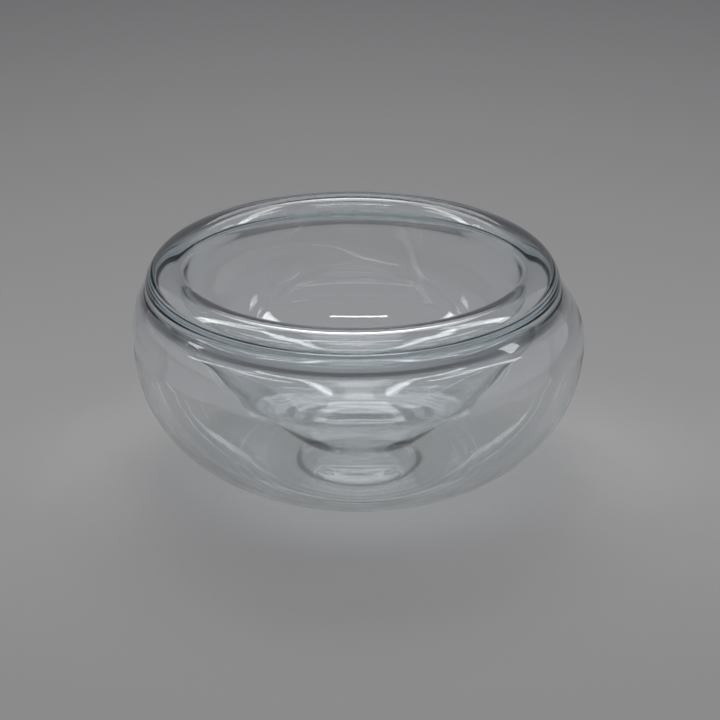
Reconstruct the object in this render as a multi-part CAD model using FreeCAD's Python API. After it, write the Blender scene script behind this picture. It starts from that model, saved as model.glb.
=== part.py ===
import FreeCAD, Part
import math
import os

# Double-walled blown glass bowl, millimetres, +Z up.
# The origin is the middle of the standing ring, on the plane the bowl stands on.
# Everything is a body of revolution about Z, drawn as a section in the XZ plane.
# A thin inner bowl hangs from a hollow rolled rim, inside a squat outer wall, and
# the air between them is sealed in.

# outer wall: a squat bulge, a quarter of a slightly squared ellipse below the belly
belly_radius = 154.0          # widest radius of the bowl
belly_height = 98.0           # height of the widest ring
squareness = 2.1              # exponent of the lower quarter, 2 would be an ellipse
wall = 2.6                    # thickness of the outer wall
standing_inner = 40.0         # flat ring that the bowl stands on
standing_outer = 44.0
wall_steps = 16               # intervals of each computed curve

# shoulder: the outer wall closes in above the belly and ends at the crease
shoulder_centre_radius = 118.0
shoulder_rise = 47.0

# rolled rim: the fold that joins the two walls, an ellipse leaning inwards
rim_radius = 126.4
rim_height = 135.5
rim_half_width = 14.6
rim_half_height = 19.0
rim_lean = 8.6                # degrees from upright
rim_crease_turn = -11.3       # place of the crease on the rim's ellipse, degrees
rim_lip_turn = 168.9          # place of the narrowest point of the mouth, degrees
lip_thickness = 3.2           # glass at the narrowest point of the mouth

# base disc: a thick round pad in the middle of the underside, pushed up a little
kick = 2.6                    # how far the underside rises inside its standing ring
pad_thickness = 5.5
pad_edge = 46.0               # radius where the pad has thinned to the outer wall

# inner bowl: its underside and its floor on the axis
hanging_height = 17.0
floor_height = 20.0


def at(radius, height):
    """Point of the section at a radius and a height."""
    return FreeCAD.Vector(radius, 0.0, height)


def rim_point(turn):
    """Point of the rim's leaning ellipse."""
    a = math.radians(turn)
    t = math.radians(rim_lean)
    across = rim_half_width * math.cos(a)
    along = rim_half_height * math.sin(a)
    radius = rim_radius + across * math.cos(t) - along * math.sin(t)
    height = rim_height + across * math.sin(t) + along * math.cos(t)
    return at(radius, height)


def lower_point(inset, turn):
    """Point of the outer wall below the belly, moved in by a distance."""
    a = math.radians(turn)
    power = 2 / squareness
    span = belly_radius - standing_outer - inset
    radius = standing_outer + span * math.sin(a) ** power
    drop = (belly_height - inset) * max(math.cos(a), 0.0) ** power
    return at(radius, belly_height - drop)


def shoulder_point(turn):
    """Point of the outside between the belly and the crease."""
    a = math.radians(turn)
    span = belly_radius - shoulder_centre_radius
    radius = shoulder_centre_radius + span * math.cos(a)
    return at(radius, belly_height + shoulder_rise * math.sin(a))


def spread(point_at, first, last):
    """Points of a computed curve, evenly spread between two angles."""
    turns = [first + (last - first) * i / wall_steps for i in range(wall_steps + 1)]
    return [point_at(turn) for turn in turns]


def smooth(points, start=None, end=None):
    """Smooth curve through points, with optional end directions."""
    curve = Part.BSplineCurve()
    if start is None:
        curve.interpolate(Points=points)
    else:
        curve.interpolate(Points=points, InitialTangent=start, FinalTangent=end)
    return curve.toShape()


def line(a, b):
    return Part.LineSegment(a, b).toShape()


def revolve(edges):
    """Solid ring or disc from a closed section."""
    face = Part.Face(Part.Wire(Part.__sortEdges__(edges)))
    solid = face.revolve(at(0, 0), FreeCAD.Vector(0, 0, 1), 360)
    if solid.Volume < 0:
        solid.reverse()
    return solid


up = FreeCAD.Vector(0, 0, 1)
down = FreeCAD.Vector(0, 0, -1)
outwards = FreeCAD.Vector(1, 0, 0)
inwards = FreeCAD.Vector(-1, 0, 0)
fold_slope = FreeCAD.Vector(-0.87, 0, 0.49)

# points where the pieces meet
ring_outer = at(standing_outer, 0)
pad_rim = at(pad_edge, wall)
crease = rim_point(rim_crease_turn)
crease_inside = at(140.0, 127.6)
lip = rim_point(rim_lip_turn)
lip_inside = at(lip.x + lip_thickness, lip.z)

# outer wall
shoulder_turn = math.degrees(math.asin((crease.z - belly_height) / shoulder_rise))
lower_outside = smooth(
    spread(lambda turn: lower_point(0.0, turn), 0, 90),
    outwards,
    up,
)
shoulder_outside = smooth(spread(shoulder_point, 0, shoulder_turn)[:-1] + [crease])
lower_inside = smooth(
    [pad_rim] + spread(lambda turn: lower_point(wall, turn), 4, 90),
    outwards,
    up,
)
shoulder_inside = smooth(
    [
        lower_point(wall, 90),
        at(150.4, 107.0),
        at(148.2, 116.0),
        at(144.2, 124.4),
        crease_inside,
    ],
    up,
    fold_slope,
)
outer_wall = revolve(
    [
        lower_outside,
        shoulder_outside,
        line(crease, crease_inside),
        shoulder_inside,
        lower_inside,
        line(pad_rim, ring_outer),
    ]
)

# rolled rim: a hollow fold, thicker just above the crease
rim_outside = smooth(spread(rim_point, rim_crease_turn, rim_lip_turn))
rim_inside = smooth(
    [
        crease_inside,
        at(135.8, 129.6),
        at(132.4, 132.8),
        at(131.8, 136.6),
        at(133.6, 140.2),
        at(134.2, 144.2),
        at(131.0, 148.4),
        at(125.6, 150.6),
        at(119.8, 149.2),
        at(116.2, 145.0),
        lip_inside,
    ],
    fold_slope,
    down,
)
rolled_rim = revolve(
    [
        rim_outside,
        line(lip, lip_inside),
        rim_inside,
        line(crease_inside, crease),
    ]
)

# inner bowl: hangs from the lip, clear of the base disc
bowl_inside = smooth(
    [
        lip,
        at(111.0, 127.0),
        at(109.2, 115.6),
        at(106.4, 103.4),
        at(101.8, 90.8),
        at(95.6, 79.4),
        at(87.8, 69.4),
        at(68.0, 50.2),
        at(49.8, 34.2),
        at(41.4, 28.0),
        at(32.0, 23.8),
        at(18.0, 20.9),
        at(0, floor_height),
    ],
    down,
    inwards,
)
bowl_outside = smooth(
    [
        lip_inside,
        at(113.8, 125.0),
        at(112.0, 114.0),
        at(109.2, 102.0),
        at(105.0, 89.8),
        at(98.8, 78.0),
        at(90.6, 67.4),
        at(70.2, 48.4),
        at(52.0, 32.0),
        at(43.0, 25.2),
        at(33.0, 20.8),
        at(18.0, 17.8),
        at(0, hanging_height),
    ],
    down,
    inwards,
)
inner_bowl = revolve(
    [
        bowl_inside,
        line(at(0, floor_height), at(0, hanging_height)),
        bowl_outside,
        line(lip_inside, lip),
    ]
)

# base disc: the pad's underside and its top inside the sealed space
pad_bottom = at(0, kick)
pad_top = at(0, kick + pad_thickness)
ring_inner = at(standing_inner, 0)
underside = smooth(
    [
        pad_bottom,
        at(18.0, kick * 0.97),
        at(31.0, kick * 0.75),
        at(37.0, kick * 0.2),
        ring_inner,
    ],
    outwards,
    outwards,
)
top = smooth(
    [
        pad_top,
        at(20.0, pad_thickness + kick * 0.9),
        at(32.0, pad_thickness + kick * 0.4),
        at(36.6, pad_thickness - 0.6),
        at(39.4, wall + 1.2),
        pad_rim,
    ],
    outwards,
    outwards,
)
base_disc = revolve(
    [
        line(pad_top, pad_bottom),
        underside,
        line(ring_inner, ring_outer),
        line(ring_outer, pad_rim),
        top,
    ]
)

pieces = {
    "outer_wall": outer_wall,
    "inner_bowl": inner_bowl,
    "rolled_rim": rolled_rim,
    "base_disc": base_disc,
}
os.makedirs("parts", exist_ok=True)
for node, solid in pieces.items():
    solid.exportStep("parts/" + node + ".step")
    volume = round(solid.Volume / 1000, 1)
    print(node, solid.isValid(), volume, "cm3", solid.BoundBox)
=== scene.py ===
import math

import bpy
from bpy.props import FloatProperty, FloatVectorProperty, IntProperty, PointerProperty
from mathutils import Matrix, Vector


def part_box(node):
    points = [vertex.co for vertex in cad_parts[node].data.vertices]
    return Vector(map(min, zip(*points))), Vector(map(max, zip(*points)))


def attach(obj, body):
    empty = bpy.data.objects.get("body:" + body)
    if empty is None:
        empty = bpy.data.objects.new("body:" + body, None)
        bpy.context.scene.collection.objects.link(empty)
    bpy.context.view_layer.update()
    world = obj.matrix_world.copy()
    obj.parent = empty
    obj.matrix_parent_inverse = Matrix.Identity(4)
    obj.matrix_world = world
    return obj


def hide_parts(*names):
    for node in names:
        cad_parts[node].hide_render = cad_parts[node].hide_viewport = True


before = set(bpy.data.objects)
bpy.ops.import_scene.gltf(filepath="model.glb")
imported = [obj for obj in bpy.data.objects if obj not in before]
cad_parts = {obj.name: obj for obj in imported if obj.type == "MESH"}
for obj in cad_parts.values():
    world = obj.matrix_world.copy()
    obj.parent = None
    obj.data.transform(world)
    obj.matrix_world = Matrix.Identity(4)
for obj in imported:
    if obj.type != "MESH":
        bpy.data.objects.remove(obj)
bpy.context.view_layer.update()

bl_info = {
    "name": "Double-walled blown glass bowl",
    "version": (1, 0, 0),
    "blender": (4, 5, 0),
    "location": "3D View > Sidebar > Glass bowl",
    "description": "Builds a hollow double-walled blown glass bowl and a plain stage for it",
    "category": "Object",
}

BELLY_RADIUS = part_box("outer_wall")[1].x
MM = 0.001

# long waves of the walls: the length of one, and the seed of their pattern
RIPPLE_LENGTH = 1000 / 9 * MM
RIPPLE_SEED = 3.0

# lamps, as in a light tent: name, place, width, depth, power and whether it casts a shadow
LAMPS = (
    ("overhead_softbox", (0.0, 0.0, 1.2), 0.5, 0.5, 1.5, False),
    ("shading_softbox", (0.0, 0.75, 1.2), 0.9, 0.6, 4.6, True),
    ("front_strip", (0.0, -0.52, 1.02), 0.72, 0.035, 1.0, False),
    ("low_strip", (0.0, -2.6, 0.25), 3.0, 0.06, 1.0, False),
    ("left_strip", (-0.6, 0.0, 0.7), 0.12, 0.6, 1.5, False),
    ("right_strip", (0.6, 0.0, 0.7), 0.12, 0.6, 1.5, False),
)


# ---------------------------------------------------------------- colours and nodes


def linear(hex_colour):
    """sRGB hex such as "#8fc4c9" to linear RGBA."""
    channels = []
    for i in (1, 3, 5):
        c = int(hex_colour[i : i + 2], 16) / 255
        channels.append(c / 12.92 if c <= 0.04045 else ((c + 0.055) / 1.055) ** 2.4)
    return (*channels, 1.0)


def add_node(tree, kind, links=None, sockets=None, **settings):
    """Adds a node, sets its properties and socket values, and links its inputs."""
    node = tree.nodes.new(kind)
    for name, value in settings.items():
        setattr(node, name, value)
    for name, value in (sockets or {}).items():
        node.inputs[name].default_value = value
    for name, source in (links or {}).items():
        tree.links.new(source, node.inputs[name])
    return node


# ---------------------------------------------------------------- sizes and looks


class BowlSizes(bpy.types.PropertyGroup):
    """Sizes of the glass that the frame doesn't give."""

    wall: FloatProperty(
        name="Wall",
        description="Thickness of the outer wall",
        default=2.6 * MM,
        min=1 * MM,
        max=6 * MM,
        unit="LENGTH",
    )
    kick: FloatProperty(
        name="Kick",
        description="How far the underside rises inside its standing ring",
        default=2.6 * MM,
        min=0.0,
        max=8 * MM,
        unit="LENGTH",
    )
    floor: FloatProperty(
        name="Floor",
        description="Thickness of the base pad at its middle",
        default=5.5 * MM,
        min=3 * MM,
        max=12 * MM,
        unit="LENGTH",
    )
    segments: IntProperty(
        name="Segments",
        description="Faces round the bowl",
        default=200,
        min=48,
        max=512,
    )
    sway: FloatProperty(
        name="Sway",
        description="How far the rim sits to the left of the base, as hand work leaves it",
        default=4.0 * MM,
        min=0.0,
        max=8 * MM,
        unit="LENGTH",
    )
    ring_depth: FloatProperty(
        name="Ring depth",
        description="Depth of the fine rings in the outer wall around the base",
        default=0.2 * MM,
        min=0.0,
        max=0.5 * MM,
        unit="LENGTH",
    )
    groove_depth: FloatProperty(
        name="Groove depth",
        description="Depth of the soft tool mark that runs round the belly",
        default=0.05 * MM,
        min=0.0,
        max=1 * MM,
        unit="LENGTH",
    )
    ripple: FloatProperty(
        name="Ripple",
        description="Depth of the long soft waves that blowing leaves in the walls",
        default=0.5 * MM,
        min=0.0,
        max=2 * MM,
        unit="LENGTH",
    )


class GlassLook(bpy.types.PropertyGroup):
    """Colour and strength of the glass."""

    tint: FloatVectorProperty(
        name="Tint",
        description="Colour that thick glass turns the light that passes through it",
        default=linear("#7fd8ee")[:3],
        min=0.0,
        max=1.0,
        size=3,
        subtype="COLOR",
    )
    tint_density: FloatProperty(
        name="Tint density",
        description="How strongly the glass absorbs, per metre",
        default=12.0,
        min=0.0,
        max=100.0,
    )
    ior: FloatProperty(
        name="IOR",
        description="Index of refraction of soda-lime glass",
        default=1.52,
        min=1.4,
        max=1.7,
    )


class StageLook(bpy.types.PropertyGroup):
    """The plain floor and light."""

    floor_colour: FloatVectorProperty(
        name="Floor",
        description="Colour of the plain floor and backdrop",
        default=linear("#949494")[:3],
        min=0.0,
        max=1.0,
        size=3,
        subtype="COLOR",
    )
    sky_level: FloatProperty(
        name="Sky level",
        description="Strength of the even light from all round",
        default=0.4,
        min=0.0,
        max=2.0,
    )
    view_distance: FloatProperty(
        name="View distance",
        description="Distance from the camera to the middle of the bowl",
        default=1.7,
        min=0.5,
        max=5.0,
        unit="LENGTH",
    )
    view_elevation: FloatProperty(
        name="View elevation",
        description="Angle of the camera above the horizon",
        default=math.radians(23.9),
        min=0.0,
        max=math.radians(89),
        subtype="ANGLE",
        unit="ROTATION",
    )


# ---------------------------------------------------------------- sections of the glass


def ellipse(centre, half_radius, half_height, first, last, steps, lean=0.0):
    """Points (radius, height) along an ellipse between two angles in degrees."""
    points = []
    tilt = math.radians(lean)
    for i in range(steps + 1):
        turn = math.radians(first + (last - first) * i / steps)
        across = half_radius * math.cos(turn)
        along = half_height * math.sin(turn)
        radius = centre[0] + across * math.cos(tilt) - along * math.sin(tilt)
        height = centre[1] + across * math.sin(tilt) + along * math.cos(tilt)
        points.append((radius, height))
    return points


def smooth(points, start, end, spacing=1.8 * MM):
    """Points along a smooth Hermite curve through the given ones, with end directions."""
    ways = []
    for i, p in enumerate(points):
        before = points[max(i - 1, 0)]
        after = points[min(i + 1, len(points) - 1)]
        ways.append((after[0] - before[0], after[1] - before[1]))
    ways[0] = start
    ways[-1] = end
    result = [points[0]]
    for i in range(len(points) - 1):
        a, b = points[i], points[i + 1]
        gap = math.dist(a, b)
        wa = [c / math.hypot(*ways[i]) * gap for c in ways[i]]
        wb = [c / math.hypot(*ways[i + 1]) * gap for c in ways[i + 1]]
        steps = max(2, round(gap / spacing))
        for k in range(1, steps + 1):
            t = k / steps
            at_a = 2 * t**3 - 3 * t**2 + 1
            way_a = t**3 - 2 * t**2 + t
            at_b = -2 * t**3 + 3 * t**2
            way_b = t**3 - t**2
            result.append(
                tuple(at_a * a[j] + way_a * wa[j] + at_b * b[j] + way_b * wb[j] for j in (0, 1))
            )
    return result


class Section:
    """The outlines of the glass, as (radius, height) in metres, and angles in degrees."""

    # intervals of each curve; the outside has enough of them for the rings in it
    outside_steps = 110
    hollow_steps = 56
    shoulder_steps = 24
    rim_steps = 52

    def __init__(self, sizes):
        self.wall = sizes.wall
        # the lower body, a quarter of a slightly squared ellipse, and its standing ring
        self.belly = BELLY_RADIUS
        self.belly_height = 98.0 * MM
        self.squareness = 2.1
        self.foot_inner = 40.0 * MM
        self.foot = 44.0 * MM
        # the pad in the middle of the underside, and where the wall's inside starts beyond it
        self.kick = sizes.kick
        self.floor = sizes.floor
        self.pad_clear = 50.0 * MM
        self.hollow_turn = 3
        # the rim, a leaning ellipse from the crease to the lip, and the shoulder below it
        self.rim_centre = (126.4 * MM, 135.5 * MM)
        self.rim_half = (14.6 * MM, 19.0 * MM)
        self.rim_lean = 8.6
        self.crease_turn = -11.3
        self.lip_turn = 168.9
        self.shoulder_centre = 118.0 * MM
        self.shoulder_rise = 47.0 * MM
        # the marks of shaping
        self.ring_depth = sizes.ring_depth
        self.ring_gap = 8.0 * MM
        self.ring_reach = 62.0 * MM
        self.groove_depth = sizes.groove_depth
        self.groove_height = 99.0 * MM
        self.groove_width = 3.6 * MM

    def rim_point(self, turn):
        """Point of the rim's leaning ellipse."""
        return ellipse(self.rim_centre, *self.rim_half, turn, turn, 1, self.rim_lean)[0]

    def lower(self, inset, first, steps):
        """The lower body from an angle up to the belly, moved in by a distance."""
        points = []
        power = 2 / self.squareness
        for i in range(steps + 1):
            a = math.radians(first + (90 - first) * i / steps)
            radius = self.foot + (self.belly - self.foot - inset) * math.sin(a) ** power
            height = self.belly_height
            height -= (self.belly_height - inset) * max(math.cos(a), 0.0) ** power
            points.append((radius, height))
        return points

    def shaped(self, points):
        """The marks of shaping, all cut inwards: rings round the base, a groove at the belly."""
        result = []
        for radius, height in points:
            fade = math.sin(math.pi * min(max((radius - self.foot) / self.ring_reach, 0.0), 1.0))
            ring = 0.5 + 0.5 * math.sin(2 * math.pi * radius / self.ring_gap)
            away = (height - self.groove_height) / self.groove_width
            cut = self.groove_depth * math.exp(-away * away)
            result.append((radius - cut, height + self.ring_depth * fade * ring))
        return result

    def outside(self):
        """From the middle of the underside, up the outside, over the rim and down inside."""
        crease = self.rim_point(self.crease_turn)
        lip = self.rim_point(self.lip_turn)
        under = smooth(
            [
                (0.0, self.kick),
                (18.0 * MM, self.kick * 0.97),
                (31.0 * MM, self.kick * 0.75),
                (37.0 * MM, self.kick * 0.2),
                (self.foot_inner, 0.0),
            ],
            (1, 0),
            (1, 0),
        )
        turn = math.degrees(math.asin((crease[1] - self.belly_height) / self.shoulder_rise))
        high = ellipse(
            (self.shoulder_centre, self.belly_height),
            self.belly - self.shoulder_centre,
            self.shoulder_rise,
            0,
            turn,
            self.shoulder_steps,
        )
        over = ellipse(
            self.rim_centre,
            *self.rim_half,
            self.crease_turn,
            self.lip_turn,
            self.rim_steps,
            self.rim_lean,
        )
        down = smooth(
            [
                lip,
                (111.0 * MM, 127.0 * MM),
                (109.2 * MM, 115.6 * MM),
                (106.4 * MM, 103.4 * MM),
                (101.8 * MM, 90.8 * MM),
                (95.6 * MM, 79.4 * MM),
                (87.8 * MM, 69.4 * MM),
                (68.0 * MM, 50.2 * MM),
                (49.8 * MM, 34.2 * MM),
                (41.4 * MM, 28.0 * MM),
                (32.0 * MM, 23.8 * MM),
                (18.0 * MM, 20.9 * MM),
                (0.0, 20.0 * MM),
            ],
            (0, -1),
            (-1, 0),
            3.0 * MM,
        )
        low = self.lower(0.0, 0, self.outside_steps)
        wall = self.shaped(low + high[1:-1])
        return under + wall + over + down[1:]

    def sealed(self):
        """The sealed space, from the pad, up the outer wall, to the hanging bowl's underside."""
        pad = smooth(
            [
                (0.0, self.floor + self.kick),
                (20.0 * MM, self.floor + self.kick * 0.9),
                (32.0 * MM, self.floor + self.kick * 0.4),
                (36.6 * MM, self.floor - 0.6 * MM),
                (39.4 * MM, self.wall + 1.2 * MM),
                (46.0 * MM, self.wall),
            ],
            (1, 0),
            (1, 0),
            1.2 * MM,
        )
        low = self.lower(self.wall, self.hollow_turn, self.hollow_steps)
        low = [point for point in low if point[0] > self.pad_clear]
        high = smooth(
            [
                low[-1],
                (150.4 * MM, 107.0 * MM),
                (148.2 * MM, 116.0 * MM),
                (144.2 * MM, 124.4 * MM),
                (140.0 * MM, 127.6 * MM),
                (135.8 * MM, 129.6 * MM),
                (132.4 * MM, 132.8 * MM),
                (131.8 * MM, 136.6 * MM),
                (133.6 * MM, 140.2 * MM),
                (134.2 * MM, 144.2 * MM),
                (131.0 * MM, 148.4 * MM),
                (125.6 * MM, 150.6 * MM),
                (119.8 * MM, 149.2 * MM),
                (116.2 * MM, 145.0 * MM),
                (114.9 * MM, 137.0 * MM),
                (113.8 * MM, 125.0 * MM),
                (112.0 * MM, 114.0 * MM),
                (109.2 * MM, 102.0 * MM),
                (105.0 * MM, 89.8 * MM),
                (98.8 * MM, 78.0 * MM),
                (90.6 * MM, 67.4 * MM),
                (70.2 * MM, 48.4 * MM),
                (52.0 * MM, 32.0 * MM),
                (43.0 * MM, 25.2 * MM),
                (33.0 * MM, 20.8 * MM),
                (18.0 * MM, 17.8 * MM),
                (0.0, 17.0 * MM),
            ],
            (0, 1),
            (-1, 0),
            2.4 * MM,
        )
        return pad + low[:-1] + high


def section_mesh(name, outline):
    """A loose row of points that the turning tree reads by their order."""
    mesh = bpy.data.meshes.new(name)
    mesh.from_pydata([(r, 0.0, h) for r, h in outline], [], [])
    return bpy.data.objects.new(name, mesh)


# ---------------------------------------------------------------- turning tree


def turning_group():
    """Turns a row of section points, from axis to axis, round Z into a closed surface."""
    tree = bpy.data.node_groups.new("Turn a section", "GeometryNodeTree")
    sockets = tree.interface
    sockets.new_socket("Section", in_out="INPUT", socket_type="NodeSocketGeometry")
    sockets.new_socket("Segments", in_out="INPUT", socket_type="NodeSocketInt")
    sockets.new_socket("Surface", in_out="OUTPUT", socket_type="NodeSocketGeometry")
    given = add_node(tree, "NodeGroupInput").outputs
    size = add_node(
        tree,
        "GeometryNodeAttributeDomainSize",
        {"Geometry": given["Section"]},
        component="MESH",
    )
    rows = size.outputs["Point Count"]
    columns = add_node(
        tree, "ShaderNodeMath", {0: given["Segments"]}, {1: 1.0}, operation="ADD"
    ).outputs[0]
    grid = add_node(
        tree,
        "GeometryNodeMeshGrid",
        {"Vertices X": columns, "Vertices Y": rows},
        {"Size X": 1.0, "Size Y": 1.0},
    ).outputs["Mesh"]
    # across the grid, from -0.5 to 0.5, is the turn, and along it is the row of the section
    place = add_node(tree, "GeometryNodeInputPosition").outputs[0]
    split = add_node(tree, "ShaderNodeSeparateXYZ", {0: place}).outputs
    across = add_node(
        tree, "ShaderNodeMath", {0: split["X"]}, {1: 0.5}, operation="ADD"
    ).outputs[0]
    along = add_node(
        tree, "ShaderNodeMath", {0: split["Y"]}, {1: 0.5}, operation="ADD"
    ).outputs[0]
    last = add_node(tree, "ShaderNodeMath", {0: rows}, {1: 1.0}, operation="SUBTRACT")
    row = add_node(
        tree, "ShaderNodeMath", {0: along, 1: last.outputs[0]}, operation="MULTIPLY"
    ).outputs[0]
    index = add_node(tree, "ShaderNodeMath", {0: row}, operation="ROUND").outputs[0]
    point = add_node(
        tree,
        "GeometryNodeSampleIndex",
        {"Geometry": given["Section"], "Value": place, "Index": index},
        data_type="FLOAT_VECTOR",
        domain="POINT",
    ).outputs["Value"]
    turn = add_node(
        tree, "ShaderNodeMath", {0: across}, {1: 2 * math.pi}, operation="MULTIPLY"
    ).outputs[0]
    turned = add_node(
        tree,
        "ShaderNodeVectorRotate",
        {"Vector": point, "Angle": turn},
        rotation_type="Z_AXIS",
    ).outputs[0]
    placed = add_node(
        tree, "GeometryNodeSetPosition", {"Geometry": grid, "Position": turned}
    ).outputs[0]
    # closes the seam and the two poles
    merged = add_node(
        tree,
        "GeometryNodeMergeByDistance",
        {"Geometry": placed},
        {"Distance": 0.01 * MM},
    ).outputs[0]
    add_node(tree, "NodeGroupOutput", {"Surface": merged})
    return tree


def bowl_tree(material):
    """The whole bowl: outer surface and sealed space, with the marks of hand work."""
    turn_group = turning_group()
    tree = bpy.data.node_groups.new("Blown bowl", "GeometryNodeTree")
    sockets = tree.interface
    sockets.new_socket("Outside", in_out="INPUT", socket_type="NodeSocketGeometry")
    sockets.new_socket("Sealed space", in_out="INPUT", socket_type="NodeSocketObject")
    sockets.new_socket("Segments", in_out="INPUT", socket_type="NodeSocketInt")
    for name in ("Sway", "Sway from", "Sway to", "Ripple", "Seed"):
        sockets.new_socket(name, in_out="INPUT", socket_type="NodeSocketFloat")
    sockets.new_socket("Glass", in_out="OUTPUT", socket_type="NodeSocketGeometry")
    given = add_node(tree, "NodeGroupInput").outputs
    outside = add_node(
        tree,
        "GeometryNodeGroup",
        {"Section": given["Outside"], "Segments": given["Segments"]},
        node_tree=turn_group,
    )
    held = add_node(
        tree, "GeometryNodeObjectInfo", {"Object": given["Sealed space"]}
    ).outputs["Geometry"]
    sealed = add_node(
        tree,
        "GeometryNodeGroup",
        {"Section": held, "Segments": given["Segments"]},
        node_tree=turn_group,
    )
    # the sealed space is a hollow, so its faces look into it
    hollow = add_node(tree, "GeometryNodeFlipFaces", {"Mesh": sealed.outputs[0]}).outputs[0]
    both = add_node(tree, "GeometryNodeJoinGeometry")
    tree.links.new(hollow, both.inputs[0])
    tree.links.new(outside.outputs[0], both.inputs[0])

    place = add_node(tree, "GeometryNodeInputPosition").outputs[0]
    parts = add_node(tree, "ShaderNodeSeparateXYZ", {0: place}).outputs
    # the sway grows smoothly with height
    height = add_node(
        tree,
        "ShaderNodeMapRange",
        {"Value": parts["Z"], "From Min": given["Sway from"], "From Max": given["Sway to"]},
        interpolation_type="SMOOTHSTEP",
    ).outputs[0]
    shift = add_node(
        tree, "ShaderNodeMath", {0: height, 1: given["Sway"]}, operation="MULTIPLY"
    ).outputs[0]
    left = add_node(
        tree, "ShaderNodeMath", {0: shift}, {1: -1.0}, operation="MULTIPLY"
    ).outputs[0]
    # long waves pull the glass inwards only, so it never leaves its own size
    waves = add_node(
        tree,
        "ShaderNodeTexNoise",
        {"Vector": place, "W": given["Seed"]},
        {"Scale": 1 / RIPPLE_LENGTH, "Detail": 1.0},
        noise_dimensions="4D",
    ).outputs[0]
    depth = add_node(
        tree, "ShaderNodeMath", {0: waves, 1: given["Ripple"]}, operation="MULTIPLY"
    ).outputs[0]
    flat = add_node(
        tree, "ShaderNodeVectorMath", {0: place}, {1: (-1.0, -1.0, 0.0)}, operation="MULTIPLY"
    ).outputs[0]
    inward = add_node(tree, "ShaderNodeVectorMath", {0: flat}, operation="NORMALIZE").outputs[0]
    wave = add_node(
        tree, "ShaderNodeVectorMath", {0: inward, "Scale": depth}, operation="SCALE"
    ).outputs[0]
    lean = add_node(tree, "ShaderNodeCombineXYZ", {"X": left}).outputs[0]
    moved = add_node(tree, "ShaderNodeVectorMath", {0: wave, 1: lean}, operation="ADD").outputs[0]
    placed = add_node(
        tree, "GeometryNodeSetPosition", {"Geometry": both.outputs[0], "Offset": moved}
    ).outputs[0]
    shaded = add_node(
        tree, "GeometryNodeSetShadeSmooth", {"Geometry": placed}, {"Shade Smooth": True}
    ).outputs[0]
    real = add_node(tree, "GeometryNodeRealizeInstances", {"Geometry": shaded}).outputs[0]
    glazed = add_node(
        tree, "GeometryNodeSetMaterial", {"Geometry": real}, {"Material": material}
    ).outputs[0]
    add_node(tree, "NodeGroupOutput", {"Glass": glazed})
    return tree


# ---------------------------------------------------------------- materials


def fire_polished_glass(look):
    """Soda-lime glass, blown and fire-polished: mirror-smooth, clear in the thin walls,
    and teal where the eye looks along or through thick glass, from a trace of iron."""
    material = bpy.data.materials.new("fire_polished_soda_lime_glass")
    material.use_nodes = True
    tree = material.node_tree
    tree.nodes.clear()
    # blowing leaves long soft waves, about 30 mm across, that bend the reflections a little
    place = add_node(tree, "ShaderNodeTexCoord").outputs["Object"]
    waves = add_node(
        tree,
        "ShaderNodeTexNoise",
        {"Vector": place},
        {"Scale": 1 / (30 * MM), "Detail": 1.0, "Roughness": 0.4},
    ).outputs[0]
    bump = add_node(
        tree,
        "ShaderNodeBump",
        {"Height": waves},
        {"Strength": 0.035, "Distance": 1.0 * MM},
    ).outputs[0]
    glass = add_node(
        tree,
        "ShaderNodeBsdfPrincipled",
        {"Normal": bump},
        {
            "Base Color": (1.0, 1.0, 1.0, 1.0),
            "Metallic": 0.0,
            "Roughness": 0.0,
            "IOR": look.ior,
            "Transmission Weight": 1.0,
        },
    ).outputs[0]
    inside = add_node(
        tree,
        "ShaderNodeVolumeAbsorption",
        None,
        {"Color": (*look.tint, 1.0), "Density": look.tint_density},
    ).outputs[0]
    add_node(tree, "ShaderNodeOutputMaterial", {"Surface": glass, "Volume": inside})
    return material


def plain_paper(look):
    """Matt background paper: even, with no shine."""
    material = bpy.data.materials.new("matt_background_paper")
    material.use_nodes = True
    shader = material.node_tree.nodes["Principled BSDF"]
    shader.inputs["Base Color"].default_value = (*look.floor_colour, 1.0)
    shader.inputs["Roughness"].default_value = 0.9
    shader.inputs["Specular IOR Level"].default_value = 0.1
    return material


# ---------------------------------------------------------------- operators


class BOWL_OT_blow_bowl(bpy.types.Operator):
    """Build the double-walled bowl as one continuous piece of glass"""

    bl_idname = "glass_bowl.blow_bowl"
    bl_label = "Blow the bowl"

    def execute(self, context):
        sizes = context.scene.bowl_sizes
        material = fire_polished_glass(context.scene.glass_look)
        section = Section(sizes)
        maker = section_mesh("bowl_outline", section.outside())
        space = section_mesh("sealed_outline", section.sealed())
        context.scene.collection.objects.link(maker)
        context.scene.collection.objects.link(space)
        tree = bowl_tree(material)
        modifier = maker.modifiers.new("Blown bowl", "NODES")
        modifier.node_group = tree
        ids = {s.name: s.identifier for s in tree.interface.items_tree if s.in_out == "INPUT"}
        modifier[ids["Sealed space"]] = space
        modifier[ids["Segments"]] = sizes.segments
        modifier[ids["Sway"]] = sizes.sway
        modifier[ids["Sway from"]] = section.belly_height
        modifier[ids["Sway to"]] = section.rim_centre[1]
        modifier[ids["Ripple"]] = sizes.ripple
        modifier[ids["Seed"]] = RIPPLE_SEED
        depsgraph = context.evaluated_depsgraph_get()
        mesh = bpy.data.meshes.new_from_object(maker.evaluated_get(depsgraph))
        mesh.name = "glass_bowl"
        bowl = bpy.data.objects.new("glass_bowl", mesh)
        context.scene.collection.objects.link(bowl)
        bpy.data.objects.remove(maker)
        bpy.data.objects.remove(space)
        if not mesh.polygons:
            raise RuntimeError("the turning tree made no faces")
        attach(bowl, "root")
        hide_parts("outer_wall", "inner_bowl", "rolled_rim", "base_disc")
        return {"FINISHED"}


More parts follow.
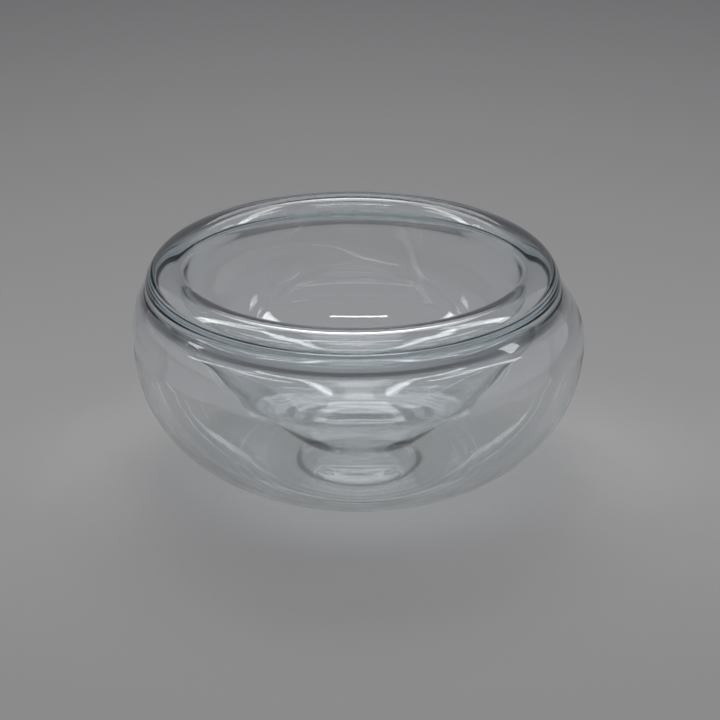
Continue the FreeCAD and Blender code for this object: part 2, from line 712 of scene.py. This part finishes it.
def add_lamp(name, place, aim, width, depth, power, shades):
    """A rectangular soft light at a place, turned to face a point.

    Thin clear glass barely shades the paper it stands on, so only one lamp casts a shadow.
    """
    lamp = bpy.data.lights.new(name, "AREA")
    lamp.shape = "RECTANGLE"
    lamp.size = width
    lamp.size_y = depth
    lamp.energy = power
    lamp.use_shadow = shades
    holder = bpy.data.objects.new(name, lamp)
    holder.location = place
    holder.rotation_euler = (Vector(aim) - Vector(place)).to_track_quat("-Z", "Y").to_euler()
    bpy.context.scene.collection.objects.link(holder)


def add_sweep(material, half_width, front, back, height, bend):
    """Floor that curves up into a backdrop."""
    bend_steps = 16
    outline = [(front, 0.0)]
    for i in range(bend_steps + 1):
        a = math.radians(90 * i / bend_steps)
        outline.append((back - bend + bend * math.sin(a), bend - bend * math.cos(a)))
    outline.append((back, height))
    vertices = [(x, y, z) for y, z in outline for x in (-half_width, half_width)]
    faces = [(2 * i, 2 * i + 1, 2 * i + 3, 2 * i + 2) for i in range(len(outline) - 1)]
    mesh = bpy.data.meshes.new("sweep")
    mesh.from_pydata(vertices, [], faces)
    mesh.polygons.foreach_set("use_smooth", [True] * len(mesh.polygons))
    mesh.materials.append(material)
    sweep = bpy.data.objects.new("sweep", mesh)
    bpy.context.scene.collection.objects.link(sweep)
    return sweep


class BOWL_OT_set_stage(bpy.types.Operator):
    """Lay out the floor, the soft light and the camera"""

    bl_idname = "glass_bowl.set_stage"
    bl_label = "Set the stage"

    def execute(self, context):
        scene = context.scene
        look = scene.stage_look
        paper = plain_paper(look)
        sweep = add_sweep(paper, half_width=3.0, front=-2.6, back=3.2, height=3.0, bend=0.8)

        world = bpy.data.worlds.new("soft_room")
        world.use_nodes = True
        sky = world.node_tree.nodes["Background"]
        sky_colour = (0.98, 0.95, 1.0, 1.0)
        sky.inputs["Color"].default_value = sky_colour
        sky.inputs["Strength"].default_value = look.sky_level
        scene.world = world

        bowl_middle = (0.0, 0.0, 70.0 * MM)
        for name, place, width, depth, power, shades in LAMPS:
            add_lamp(name, place, bowl_middle, width, depth, power, shades)

        camera = bpy.data.cameras.new("camera")
        holder = bpy.data.objects.new("camera", camera)
        aim_height = 77.8 * MM
        aim = Vector((0.0, 0.0, aim_height))
        rise = look.view_elevation
        away = Vector((0.0, -math.cos(rise), math.sin(rise)))
        holder.location = aim + away * look.view_distance
        holder.rotation_euler = (-away).to_track_quat("-Z", "Y").to_euler()
        camera.sensor_width = 36.0
        seen_width = 0.4946
        camera.lens = camera.sensor_width * look.view_distance / seen_width
        camera.shift_x = 0.0015
        scene.collection.objects.link(holder)
        scene.camera = holder
        scene.view_settings.view_transform = "Standard"
        return {"FINISHED"}


class BOWL_PT_panel(bpy.types.Panel):
    """Sizes, looks and the steps that build the bowl"""

    bl_idname = "BOWL_PT_panel"
    bl_label = "Glass bowl"
    bl_space_type = "VIEW_3D"
    bl_region_type = "UI"
    bl_category = "Glass bowl"

    def draw(self, context):
        scene = context.scene
        for group in (scene.bowl_sizes, scene.glass_look, scene.stage_look):
            column = self.layout.column(align=True)
            for name in group.__annotations__:
                column.prop(group, name)
        for operator in STEPS:
            self.layout.operator(operator.bl_idname)


STEPS = (BOWL_OT_blow_bowl, BOWL_OT_set_stage)
CLASSES = (BowlSizes, GlassLook, StageLook, *STEPS, BOWL_PT_panel)


def register():
    for cls in CLASSES:
        bpy.utils.register_class(cls)
    bpy.types.Scene.bowl_sizes = PointerProperty(type=BowlSizes)
    bpy.types.Scene.glass_look = PointerProperty(type=GlassLook)
    bpy.types.Scene.stage_look = PointerProperty(type=StageLook)


def unregister():
    del bpy.types.Scene.stage_look
    del bpy.types.Scene.glass_look
    del bpy.types.Scene.bowl_sizes
    for cls in reversed(CLASSES):
        bpy.utils.unregister_class(cls)


def main():
    """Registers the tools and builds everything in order."""
    register()
    bpy.ops.glass_bowl.blow_bowl()
    bpy.ops.glass_bowl.set_stage()


if __name__ == "__main__":
    main()
